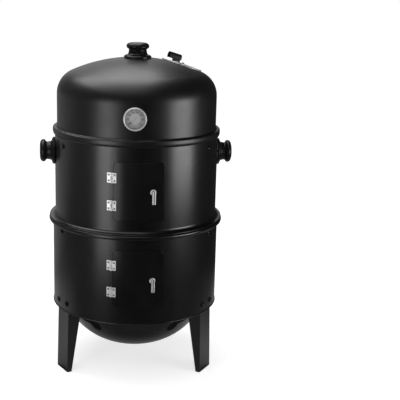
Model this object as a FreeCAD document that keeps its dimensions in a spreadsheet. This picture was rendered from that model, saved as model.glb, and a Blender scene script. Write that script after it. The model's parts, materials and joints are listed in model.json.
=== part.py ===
import FreeCAD, Part
import math
import os
import re
import Sketcher

# Vertical water smoker: a round charcoal smoker of three stacked sections on three legs. From the floor up:
# a fire chamber with the charcoal bowl in its foot, a food chamber, and a domed lid. Each chamber has a
# hinged door with a turning latch. The lower grate and the water pan rest on step brackets in the fire
# chamber, the upper grate on brackets in the food chamber.
#
# Frame: +Z up, origin on the floor under the barrel's axis, doors and thermometer towards -Y.
# An azimuth is counted from -Y towards +X, so it is also a turn about +Z of a piece drawn facing -Y.

Vector = FreeCAD.Vector
Rotation = FreeCAD.Rotation
Placement = FreeCAD.Placement

os.makedirs("parts", exist_ok=True)
doc = FreeCAD.newDocument("vertical_water_smoker")

# ---------------------------------------------------------------------------------------------------
# Driving dimensions, in millimetres and degrees
# ---------------------------------------------------------------------------------------------------
SIZES = (
    # The three sections
    ("lower_radius", 200, "outside radius of the fire chamber"),
    ("nest_step", 5, "each section is this much smaller in radius than the one below"),
    ("sheet", 1.2, "steel sheet of chambers, lid, doors and bowls"),
    ("leg_height", 152, "floor to the fire chamber's lower edge"),
    ("fire_height", 216, "fire chamber's lower edge to its rim"),
    ("food_height", 214, "food chamber's flange to its upper edge"),
    ("skirt_height", 80, "lid's seat to the start of its shoulder"),
    ("shoulder_radius", 57, "bend between the lid's skirt and its crown"),
    ("crown_radius", 377, "radius of the lid's crown"),
    ("seat_gap", 0.3, "gap between loose pieces that rest on each other"),
    # The rings between the sections
    ("ring_overhang", 10, "how far the fire chamber's rim stands outside its wall"),
    ("rim_depth", 11, "height of that rim"),
    ("rim_lip", 3, "how far the rim's upper lip stays outside the wall"),
    ("rim_round", 5, "outside rounding of the rim"),
    ("flange_overhang", 1.5, "how far the food chamber's flange stays inside the rim"),
    ("flange_thickness", 2.4, "folded flange round the food chamber's foot"),
    ("flange_bend", 8, "bend between the food chamber's wall and its flange"),
    ("spigot_depth", 14, "food chamber's wall below its flange"),
    ("band_overhang", 10, "how far the lid's band stands outside its skirt"),
    ("band_depth", 14.5, "lid's band below its seat"),
    ("band_curl", 2.5, "how far the band's lower edge is rolled in"),
    ("bend_radius", 3, "outside bends of the rings"),
    # Doors
    ("door_width", 116, "door across its chord"),
    ("door_height", 136, "door from top to bottom"),
    ("door_overlap", 7, "door's cover over the edge of its opening"),
    ("door_corner", 10, "corner radius of a door"),
    ("door_gap", 0.35, "gap between a door and the wall behind it"),
    ("door_azimuth", 1.9, "azimuth of the doors' middle"),
    ("food_door_rise", 98, "food chamber's flange to the middle of its door"),
    ("fire_door_rise", 111, "fire chamber's lower edge to the middle of its door"),
    # Butt hinges
    ("hinge_height", 23, "length of a hinge"),
    ("hinge_leaf", 10.9, "pin axis to the outer edge of a leaf"),
    ("hinge_plate", 1.2, "thickness of a leaf"),
    ("hinge_spread", 64, "distance between the two hinges of a door"),
    ("hinge_pin_radius", 1.25, "radius of a hinge pin"),
    ("hinge_knuckle", 2.6, "outside radius of a knuckle"),
    ("hinge_clearance", 0.05, "radial running clearance of a hinge pin"),
    ("knuckle_gap", 0.3, "gap between knuckles, and between a knuckle and the other leaf"),
    ("rivet_radius", 1.4, "radius of a hinge rivet"),
    ("rivet_head", 2.5, "radius of a hinge rivet's head"),
    ("rivet_spread", 13.5, "distance between the two rivets of a leaf"),
    # Latches
    ("latch_azimuth", 11.2, "azimuth of the latches"),
    ("food_latch_rise", 0.7, "food door's latch axis above the middle of the door"),
    ("fire_latch_rise", -2.5, "fire door's latch axis above the middle of the door"),
    ("latch_boss", 7.4, "radius of a latch lever's round head"),
    ("latch_reach", 30, "latch axis to the end of its lever"),
    ("latch_width", 9.6, "width of a latch lever's bar"),
    ("latch_shift", 1.8, "latch axis to the middle of that bar"),
    ("latch_groove", 2.6, "width of the groove along that bar"),
    ("latch_thickness", 4.6, "thickness of a latch lever"),
    ("latch_shaft", 3, "radius of a latch shaft"),
    ("latch_clearance", 0.06, "radial running clearance of a latch shaft"),
    ("cam_depth", 7.6, "door's outer face to the cam"),
    ("cam_thickness", 2, "thickness of a latch cam"),
    ("cam_reach", 31, "latch axis to the end of its cam"),
    ("cam_width", 12, "width of a latch cam"),
    # Knobs and handles
    ("knob_height", 35.5, "height of a knob over its seat"),
    ("knob_head", 27, "radius of a knob's head"),
    ("knob_neck", 21.3, "radius of a knob's neck"),
    ("knob_base", 32.5, "radius of a knob's base flange"),
    ("knob_land", 3, "width of the ring that a knob stands on"),
    ("knob_bolt", 3, "radius of a knob's bolt"),
    ("handle_drop", 58.3, "food chamber's upper edge to its side handles"),
    ("handle_turn", 3.7, "turn of the side handles about the barrel's axis, from straight across"),
    # Thermometer
    ("gauge_azimuth", -1.2, "azimuth of the thermometer"),
    ("gauge_rise", 49.5, "lid's seat to the thermometer's middle"),
    ("gauge_radius", 26, "radius of the thermometer's bezel"),
    ("gauge_depth", 11, "thermometer's case in front of the lid"),
    ("gauge_window", 22, "radius of the bezel's opening"),
    ("gauge_stem", 3, "radius of the thermometer's stem"),
    ("gauge_stem_length", 42, "stem behind the case"),
    ("pointer_angle", 221, "pointer at rest, from level towards the right, turning up"),
    ("pointer_length", 20, "thermometer's axis to its pointer's tip"),
    # Damper
    ("damper_azimuth", 105, "azimuth of the damper"),
    ("damper_offset", 110, "damper's middle to the barrel's axis"),
    ("damper_radius", 50, "radius of the damper disc"),
    ("damper_gap", 0.5, "gap between the damper disc and the lid"),
    ("damper_plate", 1.2, "thickness of the damper disc"),
    ("vent_inner", 14, "inner radius of a vent slot"),
    ("vent_outer", 38, "outer radius of a vent slot"),
    ("vent_half_angle", 13, "half the angle that a vent slot spans"),
    ("damper_pivot", 3, "radius of the damper's pivot"),
    ("damper_bead", 3, "width of the raised bead round the damper disc"),
    ("grip_turn", 102, "turn of the grip about the damper's axis"),
    ("grip_offset", 42.8, "damper's axis to the middle of its grip"),
    ("grip_length", 33, "length of the damper's grip"),
    ("grip_width", 15, "width of the damper's grip"),
    ("grip_height", 21, "height of the grip over the disc"),
    ("grip_rise", 7, "height of the grip's lower edges over the disc"),
    ("grip_sheet", 2, "wall of the grip"),
    ("grip_foot", 22, "length of the grip's foot"),
    # Legs
    ("leg_width", 56, "width of a leg's outer face"),
    ("leg_sheet", 1.6, "sheet of the legs"),
    ("leg_splay", 4, "how far a foot stands out from the leg's top"),
    ("leg_tab", 32, "leg above the fire chamber's lower edge"),
    ("leg_lip", 12, "shelf at a leg's top that carries the charcoal bowl"),
    ("leg_toe", 11, "depth of a leg's side flange at the floor"),
    ("leg_flange", 30, "depth of a leg's side flange at its top"),
    ("leg_bolt_spread", 40, "distance between a leg's two bolts"),
    ("leg_bolt_rise", 21, "leg bolts above the fire chamber's lower edge"),
    ("bolt_radius", 3, "radius of leg and bracket bolts"),
    ("bolt_head", 5, "radius of a nut and of a handle bolt's head"),
    ("bolt_cap", 7, "radius of the round head of a leg's or bracket's bolt"),
    ("bolt_clearance", 0.25, "radial clearance of a bolt's hole"),
    # Charcoal bowl and water pan
    ("bowl_floor", 40, "floor to the charcoal bowl's underside"),
    ("bowl_gap", 8.3, "gap between the charcoal bowl's rim and the fire chamber's wall"),
    ("bowl_ledge", 6.9, "width of the charcoal bowl's flat rim"),
    ("bowl_round", 215, "radius to which the charcoal bowl's bottom is rounded"),
    ("bowl_bottom", 85, "radius of the charcoal bowl's bottom, where its sides begin"),
    ("pan_gap", 0.9, "gap between the water pan's rim and the brackets' risers"),
    ("pan_ledge", 9, "width of the water pan's flat rim"),
    ("pan_taper", 17, "how much the water pan narrows towards its floor"),
    ("pan_depth", 62, "depth of the water pan"),
    # Grates and their brackets
    ("grate_gap", 12, "gap between a grate and the food chamber's wall"),
    ("ring_wire", 3, "radius of a grate's ring wire"),
    ("bar_wire", 1.8, "radius of a grate's bars"),
    ("bar_pitch", 18, "distance between a grate's bars"),
    ("bracket_sheet", 1.6, "thickness of the brackets"),
    ("bracket_width", 20, "width of a bracket"),
    ("bracket_gap", 0.4, "gap between a bracket's flat strip and the curved wall"),
    ("rest_gap", 0.05, "gap under loose pieces on flat supports"),
    ("lower_screw_drop", 20, "fire chamber's rim to its bracket screws"),
    ("upper_screw_drop", 32, "food chamber's upper edge to its bracket screws"),
    ("pan_drop", 26, "lower grate's seat to the water pan's seat"),
)
table = doc.addObject("Spreadsheet::Sheet", "Sizes")
for row, (alias, number, meaning) in enumerate(SIZES, 1):
    table.set("A%d" % row, str(number))
    table.setAlias("A%d" % row, alias)
    table.set("B%d" % row, meaning)
doc.recompute()

# Heights above the floor and radii that follow from the driving dimensions
RIM_TOP = "(leg_height + fire_height)"
RIM_BASE = "(leg_height + fire_height - rim_depth)"
FOOD_BASE = "(leg_height + fire_height + seat_gap)"
FOOD_TOP = "(leg_height + fire_height + food_height + seat_gap)"
LID_SEAT = "(leg_height + fire_height + food_height + 2 * seat_gap)"
SHOULDER = "(leg_height + fire_height + food_height + 2 * seat_gap + skirt_height)"
FIRE_DOOR_HEIGHT = "(leg_height + fire_door_rise)"
FOOD_DOOR_HEIGHT = "(leg_height + fire_height + seat_gap + food_door_rise)"
HANDLE_HEIGHT = "(%s - handle_drop)" % FOOD_TOP
HANDLES = (("side_handle_right", "(90 + handle_turn)"), ("side_handle_left", "(270 + handle_turn)"))
FIRE_RADIUS = "lower_radius"
FOOD_RADIUS = "(lower_radius - nest_step)"
LID_RADIUS = "(lower_radius - 2 * nest_step)"
RING_RADIUS = "(lower_radius + ring_overhang)"
BAND_RADIUS = "(lower_radius - 2 * nest_step + band_overhang)"
BOWL_RIM = "(lower_radius - sheet - bowl_gap)"
GRATE_RADIUS = "(lower_radius - nest_step - sheet - grate_gap)"
STEP_END = "(%s - 2.5 * ring_wire)" % GRATE_RADIUS
PAN_RIM = "(%s - bracket_sheet - pan_gap)" % STEP_END
CROWN_SPAN = "(crown_radius - shoulder_radius)"
SHOULDER_CENTRE = "(lower_radius - 2 * nest_step - shoulder_radius)"
CROWN_RISE = "sqrt(%s^2 - %s^2)" % (CROWN_SPAN, SHOULDER_CENTRE)
CROWN_CENTRE = "(%s - %s)" % (SHOULDER, CROWN_RISE)
GRATE_SEAT = "(leg_height + fire_height - lower_screw_drop - bolt_head - bracket_sheet * 2)"
PAN_SEAT = "(%s - pan_drop)" % GRATE_SEAT
UPPER_SEAT = "(%s - upper_screw_drop - bolt_head - bracket_sheet * 2)" % FOOD_TOP
BRACKET_AZIMUTHS = (60, 180, 300)
VENT_COUNT = 6
LEGS = (("leg_front_right", 60), ("leg_rear", 180), ("leg_front_left", 300))

ALIAS = re.compile(r"\b(%s)\b" % "|".join(alias for alias, number, meaning in SIZES))


def sized(expression):
    """Point each size that an expression names at its cell of the sheet."""
    return ALIAS.sub(r"Sizes.\1", str(expression))


def value(expression):
    """Work out an expression in the sheet's numbers."""
    result = table.evalExpression(sized(expression))
    return float(getattr(result, "Value", result))


# ---------------------------------------------------------------------------------------------------
# Drawing helpers
# ---------------------------------------------------------------------------------------------------
def new_body(label):
    body = doc.addObject("PartDesign::Body", label)
    body.Label = label
    return body


def new_sketch(body, plane, offset=("0", "0", "0"), turn=None):
    """Start a sketch on an origin plane of its body, moved and then turned in that plane's own frame."""
    sketch = body.newObject("Sketcher::SketchObject", "Sketch")
    support = next(feature for feature in body.Origin.OriginFeatures if feature.Role == plane)
    sketch.AttachmentSupport = [(support, "")]
    sketch.MapMode = "FlatFace"
    base = Vector(*(value(expression) for expression in offset))
    sketch.AttachmentOffset = Placement(base, turn or Rotation())
    for letter, expression in zip("xyz", offset):
        sketch.setExpression("AttachmentOffset.Base.%s" % letter, sized(expression))
    return sketch


def locate(sketch, geometry, point, across, up):
    """Tie a point of a sketch to its place, given as two expressions."""
    for kind, zero_line, expression in (("DistanceX", -2, across), ("DistanceY", -1, up)):
        if expression == "0":
            sketch.addConstraint(Sketcher.Constraint("PointOnObject", geometry, point, zero_line))
        else:
            number = value(expression)
            index = sketch.addConstraint(Sketcher.Constraint(kind, -1, 1, geometry, point, number))
            sketch.setExpression("Constraints[%d]" % index, sized(expression))


def outline(sketch, points):
    """Draw a closed outline through (across, up) points.

    A third value bends the line that leaves a point into an arc of that radius. Its centre lies to the
    left of travel, or to the right where the radius is written with a minus sign.
    """
    corners = [Vector(value(point[0]), value(point[1]), 0) for point in points]
    ends = []
    for index, point in enumerate(points):
        start = corners[index]
        end = corners[(index + 1) % len(points)]
        if len(point) == 2:
            ends.append((sketch.addGeometry(Part.LineSegment(start, end), False), 1, 2))
            continue
        signed_radius = value(point[2])
        half_chord = (end - start) * 0.5
        left = Vector(-half_chord.y, half_chord.x, 0).normalize()
        rise = math.sqrt(max(signed_radius ** 2 - half_chord.Length ** 2, 0.0))
        centre = start + half_chord + left * math.copysign(rise, signed_radius)
        first, last = (start, end) if signed_radius > 0 else (end, start)
        angles = [math.atan2(corner.y - centre.y, corner.x - centre.x) for corner in (first, last)]
        circle = Part.Circle(centre, Vector(0, 0, 1), abs(signed_radius))
        geometry = sketch.addGeometry(Part.ArcOfCircle(circle, *angles), False)
        ends.append((geometry, 1, 2) if signed_radius > 0 else (geometry, 2, 1))
    for index, (geometry, start_point, end_point) in enumerate(ends):
        following, following_start, following_end = ends[(index + 1) % len(ends)]
        sketch.addConstraint(
            Sketcher.Constraint("Coincident", geometry, end_point, following, following_start)
        )
        locate(sketch, geometry, start_point, points[index][0], points[index][1])
        if len(points[index]) == 3:
            radius = points[index][2].lstrip("-")
            number = sketch.addConstraint(Sketcher.Constraint("Radius", geometry, value(radius)))
            sketch.setExpression("Constraints[%d]" % number, sized(radius))
    return sketch


def circles(sketch, radius, centres):
    """Draw circles of one radius at (across, up) centres."""
    for across, up in centres:
        middle = Vector(value(across), value(up), 0)
        geometry = sketch.addGeometry(Part.Circle(middle, Vector(0, 0, 1), value(radius)), False)
        locate(sketch, geometry, 3, across, up)
        number = sketch.addConstraint(Sketcher.Constraint("Radius", geometry, value(radius)))
        sketch.setExpression("Constraints[%d]" % number, sized(radius))
    return sketch


def box_points(left, right, low, high):
    return ((left, low), (right, low), (right, high), (left, high))


def add_feature(body, kind, sketch, property_name, expression, **settings):
    """Add a sketched feature, and for a cut make sure that it took material away."""
    before = body.Shape.Volume if kind in ("Pocket", "Groove") else None
    feature = body.newObject("PartDesign::" + kind, kind)
    feature.Profile = sketch
    for name, setting in settings.items():
        setattr(feature, name, setting)
    setattr(feature, property_name, value(expression))
    feature.setExpression(property_name, sized(expression))
    doc.recompute()
    if before is not None and body.Shape.Volume > before - 0.1:
        raise RuntimeError("%s: a %s cuts nothing" % (body.Label, kind))
    return feature


def turned(body, sketch, angle="360"):
    axis = (sketch, ["V_Axis"])
    return add_feature(body, "Revolution", sketch, "Angle", angle, ReferenceAxis=axis, Midplane=True)


def grooved(body, sketch, angle="360"):
    axis = (sketch, ["V_Axis"])
    return add_feature(body, "Groove", sketch, "Angle", angle, ReferenceAxis=axis, Midplane=True)


def padded(body, sketch, length, midplane=True, backwards=False):
    return add_feature(body, "Pad", sketch, "Length", length, Midplane=midplane, Reversed=backwards)


def pocketed(body, sketch, length, backwards=True):
    return add_feature(body, "Pocket", sketch, "Length", length, Type=0, Reversed=backwards)


def patterned(body, feature, axis, count):
    """Repeat a feature evenly round an axis."""
    pattern = body.newObject("PartDesign::PolarPattern", "Pattern")
    pattern.Originals = [feature]
    pattern.Axis = axis
    pattern.Angle = 360
    pattern.Occurrences = count
    body.Tip = pattern
    doc.recompute()
    return pattern


def rounded(body, radius, wanted):
    """Round the edges for which wanted(edge) is true."""
    base = body.Tip
    names = ["Edge%d" % index for index, edge in enumerate(base.Shape.Edges, 1) if wanted(edge)]
    if not names:
        raise RuntimeError("%s: no edge to round" % body.Label)
    fillet = body.newObject("PartDesign::Fillet", "Rounding")
    fillet.Base = (base, names)
    fillet.Radius = value(radius)
    fillet.setExpression("Radius", sized(radius))
    doc.recompute()
    if not fillet.isValid():
        raise RuntimeError("%s: the rounding of %d edges fails" % (body.Label, len(names)))
    return fillet


def rings(*places):
    """Match full circles about the body's axis at (radius, height) places."""
    wanted = [(value(across), value(up)) for across, up in places]

    def matches(edge):
        if edge.Degenerated or edge.Curve.TypeId != "Part::GeomCircle":
            return False
        found = (edge.Curve.Radius, edge.Curve.Center.z)
        return any(math.dist(found, place) < 0.01 for place in wanted)

    return matches


def sheet_corners(edge):
    """Match the short level edges that run through a curved sheet at its cut corners."""
    if edge.Degenerated or edge.Curve.TypeId not in ("Part::GeomLine", "Part::GeomLineSegment"):
        return False
    level = abs(edge.Vertexes[0].Z - edge.Vertexes[-1].Z) < 0.001
    return level and abs(edge.Length - value("sheet")) < 0.01


def radial_sketch(body, azimuth="0", lateral="0", height="0"):
    """Start a sketch whose vertical axis is a level line that leaves the barrel at an azimuth.

    Its across is the distance from that line, and its up is measured inwards, so outwards is negative.
    """
    offset = ("%s * cos(%s)" % (lateral, azimuth), "%s * sin(%s)" % (lateral, azimuth), height)
    return new_sketch(body, "XY_Plane", offset, Rotation(Vector(0, 0, 1), value(azimuth)))


def drilled(body, azimuth, radius, spots):
    """Drill level holes outwards through a wall at (lateral, height) spots seen from an azimuth."""
    sketch = new_sketch(body, "XZ_Plane", turn=Rotation(Vector(0, 1, 0), value(azimuth)))
    circles(sketch, radius, spots)
    return pocketed(body, sketch, "lower_radius * 1.2")


def face_out(body, azimuth, radius="0", height="0"):
    """Place a piece drawn facing -Y at an azimuth, a radius and a height."""
    body.setExpression("Placement.Base.x", sized("(%s) * sin(%s)" % (radius, azimuth)))
    body.setExpression("Placement.Base.y", sized("-(%s) * cos(%s)" % (radius, azimuth)))
    body.setExpression("Placement.Base.z", sized(height))
    body.setExpression("Placement.Rotation.Angle", sized(azimuth))


# ---------------------------------------------------------------------------------------------------
# What the two chambers share: wall, door, hinges and latch
# ---------------------------------------------------------------------------------------------------
class Chamber:
    """The values that a door and its fittings take from the chamber that they belong to."""

    def __init__(self, name, radius, door_height):
        self.name = name
        self.radius = radius
        self.door_middle = door_height
        self.latch_height = "(%s + %s_latch_rise)" % (door_height, name)
        self.door_inner = "(%s + door_gap)" % radius
        self.door_outer = "(%s + door_gap + sheet)" % radius
        door_half = "asin(door_width / 2 / %s) / 1 deg" % self.door_outer
        knuckle_half = "asin((hinge_knuckle + knuckle_gap) / %s) / 1 deg" % self.door_outer
        self.pin_azimuth = "(door_azimuth - %s - %s)" % (door_half, knuckle_half)
        self.pin_radius = "(%s + hinge_knuckle + knuckle_gap)" % radius
        self.hinges = (
            ("upper", "(%s + hinge_spread / 2)" % door_height),
            ("lower", "(%s - hinge_spread / 2)" % door_height),
        )

    def rivet_spots(self, lateral):
        """Rivet places of both hinges, as (lateral, height) seen from the pins' azimuth."""
        return [
            (lateral, "%s + (%d) * rivet_spread / 2" % (height, side))
            for place, height in self.hinges
            for side in (-1, 1)
        ]


FIRE = Chamber("fire", FIRE_RADIUS, FIRE_DOOR_HEIGHT)
FOOD = Chamber("food", FOOD_RADIUS, FOOD_DOOR_HEIGHT)
LEAF_RIVETS = "(hinge_leaf + hinge_knuckle + knuckle_gap) / 2"


def cut_door_opening(body, chamber):
    """Cut the opening behind a door, smaller than the door by its overlap."""
    half_height = "(door_height / 2 - door_overlap)"
    sketch = new_sketch(body, "YZ_Plane", turn=Rotation(Vector(0, 1, 0), value("door_azimuth")))
    outline(sketch, box_points(
        "-%s - sheet" % chamber.radius, "-%s + 2 * sheet" % chamber.radius,
        "%s - %s" % (chamber.door_middle, half_height), "%s + %s" % (chamber.door_middle, half_height),
    ))
    grooved(body, sketch, "2 * asin((door_width / 2 - door_overlap) / %s)" % chamber.radius)
    rounded(body, "door_corner - door_overlap", sheet_corners)


def make_door(chamber):
    """A curved plate over the opening, drilled for its hinge rivets and its latch."""
    body = new_body(chamber.name + "_door")
    sketch = new_sketch(body, "YZ_Plane", turn=Rotation(Vector(0, 1, 0), value("door_azimuth")))
    outline(sketch, box_points(
        "-" + chamber.door_outer, "-" + chamber.door_inner,
        "%s - door_height / 2" % chamber.door_middle, "%s + door_height / 2" % chamber.door_middle,
    ))
    turned(body, sketch, "2 * asin(door_width / 2 / %s)" % chamber.door_outer)
    rounded(body, "door_corner", sheet_corners)
    drilled(body, chamber.pin_azimuth, "rivet_radius", chamber.rivet_spots(LEAF_RIVETS))
    drilled(body, "latch_azimuth", "latch_shaft + latch_clearance", [("0", chamber.latch_height)])


def make_leaf(chamber, label, height, side, outer_face, knuckles):
    """One leaf of a butt hinge, drawn about its pin: side is -1 for the wall's leaf, 1 for the door's."""
    body = new_body(label)
    edge = "(%d) * hinge_leaf" % side
    root = "(%d) * (hinge_knuckle + knuckle_gap)" % side
    left, right = (edge, root) if side < 0 else (root, edge)
    inner_face = "%s + hinge_plate" % outer_face
    plate = outline(new_sketch(body, "XY_Plane"), box_points(left, right, outer_face, inner_face))
    padded(body, plate, "hinge_height")
    left, right = (root, "0") if side < 0 else ("0", root)
    for level in knuckles:
        middle = ("0", "0", "(%d) * (hinge_height + knuckle_gap) / 3" % level)
        length = "(hinge_height - 2 * knuckle_gap) / 3"
        strap = outline(
            new_sketch(body, "XY_Plane", middle), box_points(left, right, outer_face, inner_face)
        )
        padded(body, strap, length)
        padded(body, circles(new_sketch(body, "XY_Plane", middle), "hinge_knuckle", [("0", "0")]), length)
    bore = circles(new_sketch(body, "XY_Plane", ("0", "0", "-hinge_height")),
                   "hinge_pin_radius + hinge_clearance", [("0", "0")])
    pocketed(body, bore, "2 * hinge_height")
    holes = [("(%d) * %s" % (side, LEAF_RIVETS), "(%d) * rivet_spread / 2" % end) for end in (-1, 1)]
    sketch = circles(new_sketch(body, "XZ_Plane", ("0", "0", "-2 * hinge_knuckle")), "rivet_radius", holes)
    pocketed(body, sketch, "4 * hinge_knuckle")
    face_out(body, chamber.pin_azimuth, chamber.pin_radius, height)


def make_rivets(chamber, label, side, head_face, shank_end, tail):
    """Domed rivets of both hinges' leaves on one side, drawn inwards from the leaf's outer face."""
    body = new_body(label)
    head_height = "0.5 * rivet_head"
    for lateral, height in chamber.rivet_spots("(%d) * %s" % (side, LEAF_RIVETS)):
        sketch = radial_sketch(body, "0", lateral, height)
        points = [
            ("0", "%s - %s" % (head_face, head_height)),
            ("0.6 * rivet_head", "%s - 0.85 * %s" % (head_face, head_height)),
            ("rivet_head", head_face),
            ("rivet_radius - hinge_clearance", head_face),
            ("rivet_radius - hinge_clearance", shank_end),
        ]
        if tail:
            points += [
                ("0.85 * rivet_head", shank_end),
                ("0.85 * rivet_head", "%s + 0.8" % shank_end),
                ("0", "%s + 0.8" % shank_end),
            ]
        else:
            points.append(("0", shank_end))
        turned(body, outline(sketch, points))
    face_out(body, chamber.pin_azimuth, chamber.pin_radius)


def make_hinges(chamber):
    """Two butt hinges: leaves on the wall and on the door, pins and rivets."""
    wall_face = "(hinge_knuckle + knuckle_gap - hinge_plate)"
    door_face = "(hinge_knuckle + knuckle_gap - hinge_plate - door_gap - sheet)"
    for place, height in chamber.hinges:
        wall_label = "%s_hinge_%s_leaf" % (chamber.name, place)
        door_label = "%s_door_%s_leaf" % (chamber.name, place)
        make_leaf(chamber, wall_label, height, -1, wall_face, (-1, 1))
        make_leaf(chamber, door_label, height, 1, door_face, (0,))
    wall_back = "(%s + hinge_plate + sheet + 0.25)" % wall_face
    door_back = "(%s + hinge_plate + sheet)" % door_face
    make_rivets(chamber, chamber.name + "_hinge_rivets", -1, wall_face, wall_back, True)
    make_rivets(chamber, chamber.name + "_door_rivets", 1, door_face, door_back, False)
    body = new_body(chamber.name + "_hinge_pins")
    for place, height in chamber.hinges:
        sketch = new_sketch(body, "XZ_Plane")
        top = "%s + hinge_height / 2 + 0.2" % height
        bottom = "%s - hinge_height / 2 - 1.2" % height
        turned(body, outline(sketch, (
            ("0", bottom), ("0.8 * hinge_pin_radius", bottom), ("hinge_pin_radius", bottom + " + 0.4"),
            ("hinge_pin_radius", top), ("1.7 * hinge_pin_radius", top),
            ("1.7 * hinge_pin_radius", top + " + 0.8"), ("hinge_pin_radius", top + " + 1.2"),
            ("0", top + " + 1.2"),
        )))
    face_out(body, chamber.pin_azimuth, chamber.pin_radius)


def make_latch(chamber):
    """A lever on a shaft through the door, and the cam that it turns behind the wall."""
    back = "-2 * seat_gap"
    front = "(-2 * seat_gap - latch_thickness)"
    shaft_end = "(cam_depth + cam_thickness + 4)"

    lever = new_body(chamber.name + "_latch_lever")
    turned(lever, outline(radial_sketch(lever), (
        ("0", front), ("latch_boss - 1.6", front), ("latch_boss", front + " + 1.6"), ("latch_boss", back),
        ("latch_shaft", back), ("latch_shaft", shaft_end), ("0", shaft_end),
    )))
    half = "latch_width / 2"
    end_radius = "2"
    bar = new_sketch(lever, "XZ_Plane", ("0", "0", "-(%s)" % back))
    outline(bar, (
        ("latch_shift - " + half, "0"),
        ("latch_shift - " + half, "-latch_reach + " + end_radius, end_radius),
        ("latch_shift - %s + %s" % (half, end_radius), "-latch_reach"),
        ("latch_shift + %s - %s" % (half, end_radius), "-latch_reach", end_radius),
        ("latch_shift + " + half, "-latch_reach + " + end_radius),
        ("latch_shift + " + half, "0"),
    ))
    padded(lever, bar, "latch_thickness", midplane=False)
    groove = new_sketch(lever, "XZ_Plane", ("0", "0", "-%s + 2" % front))
    outline(groove, box_points("latch_shift - latch_groove / 2", "latch_shift + latch_groove / 2",
                               "-latch_reach - 1", "latch_boss * 0.4"))
    pocketed(lever, groove, "latch_thickness * 0.45 + 2", backwards=False)
    face_out(lever, "latch_azimuth", chamber.door_outer, chamber.latch_height)

    cam = new_body(chamber.name + "_latch_cam")
    plate = new_sketch(cam, "XZ_Plane", ("0", "0", "-cam_depth - cam_thickness"))
    outline(plate, box_points("-cam_width / 2", "cam_width / 2", "-cam_reach", "cam_width / 2"))
    padded(cam, plate, "cam_thickness", midplane=False)
    hole = new_sketch(cam, "XZ_Plane", ("0", "0", "-cam_depth - 2 * cam_thickness"))
    pocketed(cam, circles(hole, "latch_shaft + hinge_clearance", [("0", "0")]), "3 * cam_thickness")
    face_out(cam, "latch_azimuth", chamber.door_outer, chamber.latch_height)

    nut = new_body(chamber.name + "_latch_nut")
    nut_face = "(cam_depth + cam_thickness)"
    turned(nut, outline(radial_sketch(nut), box_points(
        "latch_shaft + hinge_clearance", "2 * latch_shaft", nut_face, nut_face + " + 3")))
    face_out(nut, "latch_azimuth", chamber.door_outer, chamber.latch_height)


# ---------------------------------------------------------------------------------------------------
# The sheet-metal sections
# ---------------------------------------------------------------------------------------------------
def make_fire_chamber():
    """The lowest section: a straight wall with a hollow rim rolled round its top."""
    body = new_body("fire_chamber")
    rim_inner = RING_RADIUS + " - sheet"
    lip = "lower_radius + rim_lip"
    turned(body, outline(new_sketch(body, "XZ_Plane"), (
        ("lower_radius - sheet", "leg_height"), ("lower_radius", "leg_height"),
        ("lower_radius", RIM_BASE), (RING_RADIUS, RIM_BASE), (RING_RADIUS, RIM_TOP),
        (lip, RIM_TOP), (lip, RIM_TOP + " - sheet"), (rim_inner, RIM_TOP + " - sheet"),
        (rim_inner, RIM_BASE + " + sheet"), ("lower_radius - sheet", RIM_BASE + " + sheet"),
    )))
    rounded(body, "rim_round", rings((RING_RADIUS, RIM_BASE), (RING_RADIUS, RIM_TOP)))
    rounded(body, "rim_round - sheet", rings(
        (rim_inner, RIM_BASE + " + sheet"), (rim_inner, RIM_TOP + " - sheet")))
    rounded(body, "bend_radius", rings(("lower_radius - sheet", RIM_BASE + " + sheet")))
    rounded(body, "bend_radius - sheet", rings(("lower_radius", RIM_BASE)))
    cut_door_opening(body, FIRE)
    hole = "bolt_radius + bolt_clearance"
    for azimuth in BRACKET_AZIMUTHS:
        bolts = [("(%d) * leg_bolt_spread / 2" % side, "leg_height + leg_bolt_rise") for side in (-1, 1)]
        drilled(body, azimuth, hole, bolts + [("0", RIM_TOP + " - lower_screw_drop")])
    drilled(body, FIRE.pin_azimuth, "rivet_radius", FIRE.rivet_spots("-1 * " + LEAF_RIVETS))


def make_food_chamber():
    """The middle section: a wall with a folded flange round its foot and a spigot below it."""
    body = new_body("food_chamber")
    flange = RING_RADIUS + " - flange_overhang"
    flange_top = FOOD_BASE + " + flange_thickness"
    inner = FOOD_RADIUS + " - sheet"
    turned(body, outline(new_sketch(body, "XZ_Plane"), (
        (inner, FOOD_BASE + " - spigot_depth"), (FOOD_RADIUS, FOOD_BASE + " - spigot_depth"),
        (FOOD_RADIUS, FOOD_BASE), (flange, FOOD_BASE), (flange, flange_top),
        (FOOD_RADIUS, flange_top), (FOOD_RADIUS, FOOD_TOP), (inner, FOOD_TOP),
    )))
    rounded(body, "flange_thickness * 0.45", rings((flange, FOOD_BASE), (flange, flange_top)))
    rounded(body, "flange_bend", rings((FOOD_RADIUS, flange_top)))
    cut_door_opening(body, FOOD)
    for azimuth in BRACKET_AZIMUTHS:
        drilled(body, azimuth, "bolt_radius + bolt_clearance", [("0", FOOD_TOP + " - upper_screw_drop")])
    for _, azimuth in HANDLES:
        drilled(body, azimuth, "knob_bolt + bolt_clearance", [("0", HANDLE_HEIGHT)])
    drilled(body, FOOD.pin_azimuth, "rivet_radius", FOOD.rivet_spots("-1 * " + LEAF_RIVETS))


def damper_frame():
    """The placement at the crown's centre whose +Z leaves the lid through the damper's middle."""
    tilt = math.degrees(math.asin(value("damper_offset / crown_radius")))
    turn = Rotation(Vector(0, 0, 1), value("damper_azimuth")) * Rotation(Vector(1, 0, 0), tilt)
    return Placement(Vector(0, 0, value(CROWN_CENTRE)), turn)


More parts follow.
